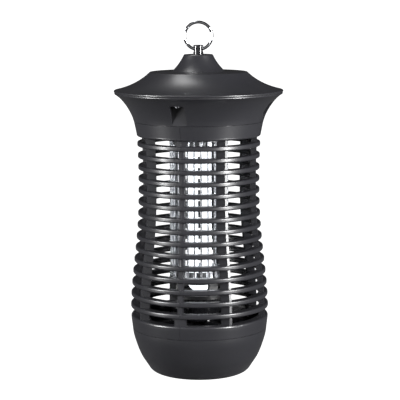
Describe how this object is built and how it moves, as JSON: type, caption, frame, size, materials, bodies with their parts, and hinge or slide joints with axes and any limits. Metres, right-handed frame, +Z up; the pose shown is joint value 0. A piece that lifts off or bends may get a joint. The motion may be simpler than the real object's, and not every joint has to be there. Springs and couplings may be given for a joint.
{
  "type": "electric bug zapper",
  "caption": "Hanging lantern bug zapper: slatted guard around a high-voltage wire grid and UV lamp, with swivelling hanging ring and twist-off tray.",
  "frame": {"origin": "centre of the foot, on the surface that the lantern stands on", "axes": "+Z up through the hanging ring; the guard's mould seam is in the YZ plane, -Y is the front, the cable gland is at the rear, a quarter of the way round to -X"},
  "size_m": [0.178, 0.178, 0.3731],
  "materials": {
    "housing_black": "satin moulded charcoal black, fine spark texture",
    "inner_black": "moulded black insulating plastic",
    "black_gloss": "polished black plastic",
    "chrome": "bright plated wire",
    "zinc_steel": "zinc plated",
    "grid_steel": "bright drawn steel",
    "black_rubber": "soft black rubber",
    "lamp_glass": "lit phosphor-coated tube",
    "lamp_white": "white lamp-holder plastic",
    "brass": "contact pins",
    "board_green": "solder mask",
    "capacitor_red": "dipped film capacitors",
    "core_steel": "varnished laminations",
    "copper_coil": "varnished winding under tape",
    "lead_insulation": "insulated lead",
    "lead_red": "high-voltage silicone lead"
  },
  "bodies": {
    "housing": {"roof_cover": "housing_black", "brim_gasket": "black_rubber", "collar": "housing_black", "roof_screws": "zinc_steel", "body_screws": "zinc_steel", "cage_half_left": "housing_black", "cage_half_right": "housing_black", "deck": "inner_black", "upper_insulator": "inner_black", "upper_electrode": "grid_steel", "lower_electrode": "grid_steel", "upper_wires": "grid_steel", "lower_wires": "grid_steel", "lower_insulator": "inner_black", "lamp_cup": "black_gloss", "lamp_cushion": "black_rubber", "base_spider": "black_gloss", "spider_screws": "zinc_steel", "lamp_tubes": "lamp_glass", "lamp_cap": "lamp_white", "lamp_pins": "brass", "lamp_holder": "lamp_white", "holder_screws": "zinc_steel", "carrier_screws": "zinc_steel", "circuit_board": "board_green", "board_capacitors": "capacitor_red", "board_diodes": "black_gloss", "board_screws": "zinc_steel", "ballast_bracket": "zinc_steel", "ballast_core": "core_steel", "ballast_coil": "copper_coil", "ballast_screws": "zinc_steel", "terminal_block": "lamp_white", "lamp_leads": "lead_insulation", "hv_leads": "lead_red", "gland_body": "black_gloss", "gland_cap": "black_gloss", "gland_locknut": "black_gloss"},
    "hanger": {"hanger_post": "black_gloss", "hanger_washer": "zinc_steel", "hanger_nut": "zinc_steel"},
    "ring": {"hanging_ring": "chrome"},
    "seal": {"tray_seal": "black_rubber"},
    "tray": {"tray": "housing_black"}
  },
  "joints": [
    {"name": "hanger_swivel", "type": "hinge", "parent": "housing", "child": "hanger", "pos_m": [0, 0, 0.338], "axis": [0, 0, 1], "continuous": true},
    {"name": "ring_swing", "type": "hinge", "parent": "hanger", "child": "ring", "pos_m": [0, 0, 0.3429], "axis": [0.9588, 0.284, 0], "range_deg": [-105, 105]},
    {"name": "tray_drop", "type": "slide", "parent": "housing", "child": "seal", "axis": [0, 0, 1], "range_m": [-0.0038, 0]},
    {"name": "tray_turn", "type": "hinge", "parent": "seal", "child": "tray", "pos_m": [0, 0, 0.0478], "axis": [0, 0, 1], "range_deg": [-45, 0]}
  ],
  "couplings": [
    {"joint": "tray_drop", "follows": "tray_turn", "m_per_rad": 0.0047746}
  ]
}
